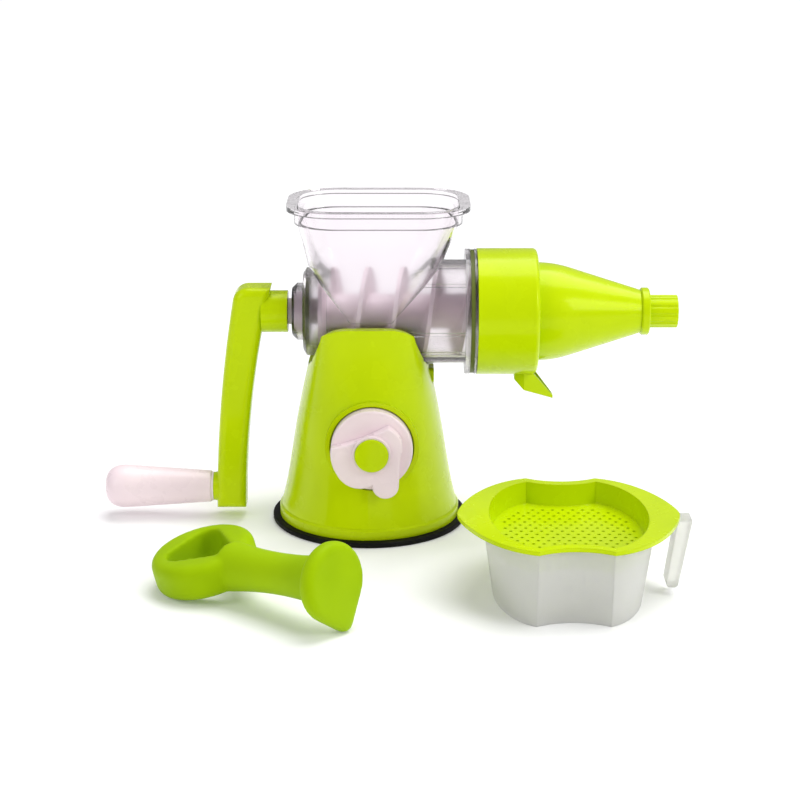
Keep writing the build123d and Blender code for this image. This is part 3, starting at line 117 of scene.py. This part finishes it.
ceiling_from_behind = 12  # degrees from straight above
ceiling_from_right = 16
ceiling_data = bpy.data.lights.new("ceiling", "SUN")
ceiling_data.energy = 2.4
ceiling_data.angle = radians(50)
ceiling = bpy.data.objects.new("ceiling", ceiling_data)
ceiling.rotation_euler = (radians(-ceiling_from_behind), radians(ceiling_from_right), 0)
bpy.context.scene.collection.objects.link(ceiling)

room = bpy.data.worlds.new("room")
room.use_nodes = True
set_inputs(room.node_tree.nodes["Background"], {"Color": (1, 1, 1, 1), "Strength": 0.3})
bpy.context.scene.world = room

# %% [markdown]
# ## How a moulding is finished
#
# Nearly every piece is injection moulded. A moulding isn't one flat colour: the colour is a touch
# deeper where the melt met, the gloss varies by patches, and the skin has a faint waviness from
# the polished tool. Each finish below is built from noise in the piece's own coordinates, so it
# needs no image and stays on the piece as it moves. The Bevel node lets a sharp edge catch the
# light as the small radius of a real tool does, with no change to the mesh.


# %% Helpers for node materials
def linear(red, green, blue):
    """A colour in screen values of 0 to 255, as the linear values that a shader takes."""
    return tuple(((v / 255 + 0.055) / 1.055) ** 2.4 for v in (red, green, blue)) + (1.0,)


def noise(tree, per_metre, detail=2.0):
    """Noise in the piece's own coordinates, with so many features to the metre."""
    place = tree.nodes.new("ShaderNodeTexCoord")
    grain = tree.nodes.new("ShaderNodeTexNoise")
    set_inputs(grain, {"Scale": per_metre, "Detail": detail})
    tree.links.new(place.outputs["Object"], grain.inputs["Vector"])
    return grain.outputs["Fac"]


def ramp(tree, value, start, end, low, high):
    """A value that runs from low to high while the given one runs from start to end."""
    fit = tree.nodes.new("ShaderNodeMapRange")
    set_inputs(fit, {"From Min": start, "From Max": end, "To Min": low, "To Max": high})
    tree.links.new(value, fit.inputs["Value"])
    return fit.outputs["Result"]


noise_low, noise_high = 0.35, 0.65  # most of the noise lies between these


def moulded(name, pale, deep, gloss, patch=22, peel=700, peel_height=0.00002, edge=0.0):
    """A moulding in two near colours, with a roughness that varies between gloss's two ends.

    Where edge is given, sharp edges catch the light as if they were rounded by that radius.
    Where gloss is None, the roughness is left to be set. Returns the material and its shader.
    """
    material = bpy.data.materials.new(name)
    material.use_nodes = True
    tree = material.node_tree
    shader = tree.nodes["Principled BSDF"]
    shader.inputs["Specular IOR Level"].default_value = 0.35
    tone = tree.nodes.new("ShaderNodeMix")
    tone.data_type = "RGBA"
    set_inputs(tone, {"A": pale, "B": deep})
    share = ramp(tree, noise(tree, patch, 3), noise_low, noise_high, 0, 1)
    tree.links.new(share, tone.inputs["Factor"])
    tree.links.new(tone.outputs["Result"], shader.inputs["Base Color"])
    if gloss:
        rough = ramp(tree, noise(tree, 3 * patch, 4), noise_low, noise_high, *gloss)
        tree.links.new(rough, shader.inputs["Roughness"])
    bump = tree.nodes.new("ShaderNodeBump")
    bump.inputs["Distance"].default_value = peel_height
    tree.links.new(noise(tree, peel, 2), bump.inputs["Height"])
    tree.links.new(bump.outputs["Normal"], shader.inputs["Normal"])
    if edge:
        rounding = tree.nodes.new("ShaderNodeBevel")
        rounding.inputs["Radius"].default_value = edge
        tree.links.new(rounding.outputs["Normal"], bump.inputs["Normal"])
    return material, shader


def wear(material, *names):
    """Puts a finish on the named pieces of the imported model."""
    for name in names:
        nodes[name].data.materials.clear()
        nodes[name].data.materials.append(material)
    print(material.name, "on", ", ".join(names))


# %% [markdown]
# ## Lime plastic
#
# The housing, the crank, the collar and cone, and the sieve are moulded in one strong yellow green
# with a high gloss. Tinted highlights keep the colour deep where white ones would wash it out. The
# pusher is the same green from a dull tool, darker and almost without highlights.

# %% Glossy lime plastic
lime, lime_shader = moulded(
    "lime_gloss", linear(194, 218, 0), linear(187, 212, 0), (0.2, 0.3), edge=0.0007
)
lime_shader.inputs["Specular Tint"].default_value = (0.95, 1, 0.1, 1)
set_inputs(lime_shader, {"Coat Weight": 0.1, "Coat Roughness": 0.06})
wear(lime, "base_housing", "base_plate", "release_button", "crank_arm", "dial_cap")
wear(lime, "juice_collar", "pulp_cone", "nozzle_tip", "cup_sieve")

# %% Matte lime plastic of the pusher
leaf, leaf_shader = moulded(
    "lime_matte", linear(156, 190, 4), linear(146, 180, 4), (0.5, 0.62), peel=1600
)
set_inputs(leaf_shader, {"Specular IOR Level": 0.2, "Specular Tint": (0.9, 1, 0.1, 1)})
wear(leaf, "pusher")

# %% [markdown]
# ## Pale plastic
#
# The grip and the dial are a warm, faintly pink white. The auger and the small bearings inside are
# nearly the same, a little duller.

# %% Pale and white plastic
blush, _ = moulded(
    "blush_plastic", linear(246, 228, 232), linear(238, 219, 225), (0.24, 0.34), edge=0.0011
)
wear(blush, "grip", "suction_dial")
milk, _ = moulded(
    "milk_plastic", linear(244, 230, 236), linear(236, 220, 228), (0.3, 0.42)
)
wear(milk, "auger", "cam_bushing", "rear_bushing", "thrust_washer", "grip_washer")

# %% [markdown]
# ## Clear plastic
#
# The hopper and the barrel are one clear moulding, so the material really bends the light: full
# transmission, at the refractive index of a clear styrene plastic. In the photo the hopper is
# crisp, but the auger shows only as a haze. The roughness therefore grows with depth, from the
# funnel's middle down to the barrel.

# %% Clear plastic
haze_low_z, haze_high_z = 0.155, 0.195
haze_rough, haze_clear = 0.24, 0.01
clear, clear_shader = moulded(
    "clear_plastic",
    (0.97, 0.94, 0.96, 1),
    (0.95, 0.91, 0.94, 1),
    None,
    peel=60,
    peel_height=0.0001,
)
set_inputs(clear_shader, {"Transmission Weight": 1.0, "IOR": 1.49})
clear_tree = clear.node_tree
clear_place = clear_tree.nodes.new("ShaderNodeTexCoord")
clear_height = clear_tree.nodes.new("ShaderNodeSeparateXYZ")
clear_tree.links.new(clear_place.outputs["Object"], clear_height.inputs["Vector"])
haze = ramp(
    clear_tree, clear_height.outputs["Z"], haze_low_z, haze_high_z, haze_rough, haze_clear
)
clear_tree.links.new(haze, clear_shader.inputs["Roughness"])
wear(clear, "barrel_hopper")

# %% [markdown]
# ## Frosted plastic
#
# The cup is milky: light gets through, but no shape is clear behind it. A mix of white body colour
# and rough transmission gives that.

# %% Frosted plastic
frost, frost_shader = moulded(
    "frosted_plastic", linear(252, 252, 248), linear(248, 248, 243), (0.3, 0.4), edge=0.0016
)
frost_shader.inputs["Transmission Weight"].default_value = 0.6
wear(frost, "juice_cup")

# %% [markdown]
# ## Rubber and steel
#
# The suction foot is soft black rubber that hardly reflects, and the seals are a dark olive. Only
# small pieces are steel, and most of them are out of sight until something is taken off.

# %% Rubber
rubber, rubber_shader = moulded(
    "black_rubber", linear(8, 8, 8), linear(14, 14, 14), (0.5, 0.7), peel=2200
)
rubber_shader.inputs["Specular IOR Level"].default_value = 0.15
wear(rubber, "suction_cup")
olive, _ = moulded(
    "olive_rubber", linear(92, 104, 30), linear(76, 86, 24), (0.45, 0.6), peel=2200
)
wear(olive, "flange_seal", "rear_seal")

# %% Steel
steel, steel_shader = moulded("steel", linear(205, 205, 205), linear(188, 188, 190), (0.22, 0.4))
steel_shader.inputs["Metallic"].default_value = 1.0
wear(steel, "base_screws", "pull_rod", "cam_shaft", "dial_screw")
wear(steel, "crank_screw", "grip_pin", "juice_screen")

# %% [markdown]
# ## The pusher's soft skin
#
# The pusher is one thick moulding with no hard edge where the ring, shaft and head meet. Its solid
# is a sum of simple shapes, so a skin of small cells is laid over it and relaxed. Each pass moves a
# point towards its neighbours, which fills the creases and rounds the corners.

# %% Skin over the pusher
skin_cell = 0.0012
skin_passes = 14
skin = nodes["pusher"].modifiers.new("skin", "REMESH")
skin.mode = "VOXEL"
skin.voxel_size = skin_cell
skin.use_smooth_shade = True
relax = nodes["pusher"].modifiers.new("relax", "SMOOTH")
relax.factor = 0.5
relax.iterations = skin_passes
print("pusher skin cells of", skin_cell * 1000, "mm, relaxed", skin_passes, "times")
